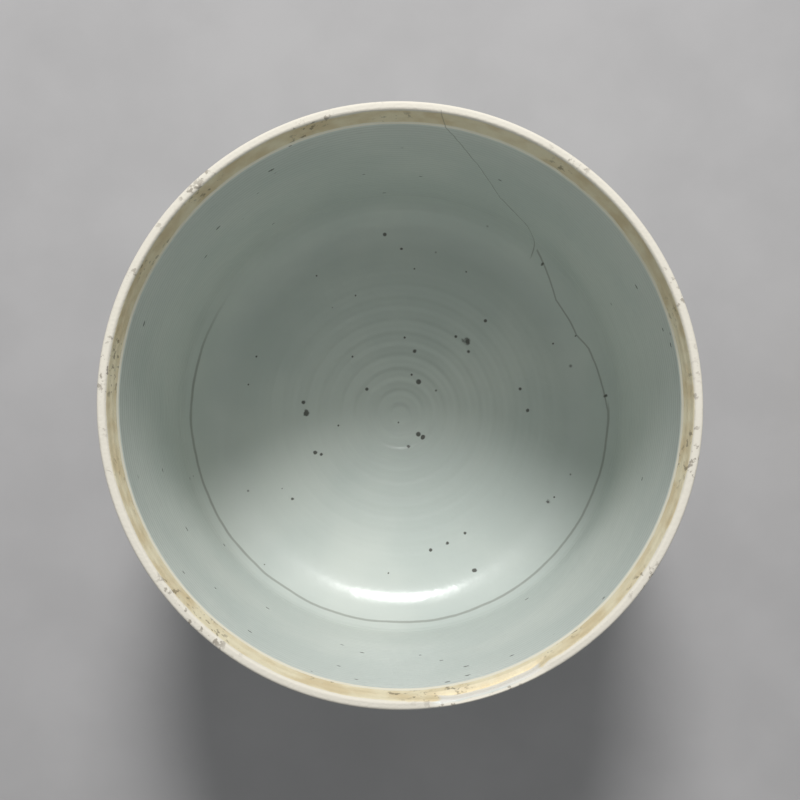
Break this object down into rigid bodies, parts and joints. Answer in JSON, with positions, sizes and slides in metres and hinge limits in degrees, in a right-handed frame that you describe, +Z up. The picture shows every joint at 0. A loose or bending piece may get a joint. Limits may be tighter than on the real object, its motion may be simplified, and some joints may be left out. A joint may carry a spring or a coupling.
{
  "type": "lidded jar",
  "caption": "Straight-sided porcelain jar with a foot ring, shown open, its domed lid with a knob and an inset flange standing beside it.",
  "frame": {"origin": "on the surface that the jar and the lid stand on, midway between their far sides", "axes": "+Z up along the jar's axis, +X from the jar to the lid"},
  "size_m": [0.3294, 0.135, 0.118],
  "materials": {
    "glaze": "satin pale celadon-white glaze",
    "bare_clay": "unglazed fired clay"
  },
  "bodies": {
    "jar": {"jar_wall": "glaze", "jar_base": "glaze"},
    "lid": {"lid_dome": "glaze", "lid_flange": "bare_clay", "lid_knob": "glaze"}
  },
  "joints": [
    {"name": "lid_lift", "type": "slide", "parent": "jar", "child": "lid", "axis": [0, 0, 1], "range_m": [0, 0.15]}
  ]
}
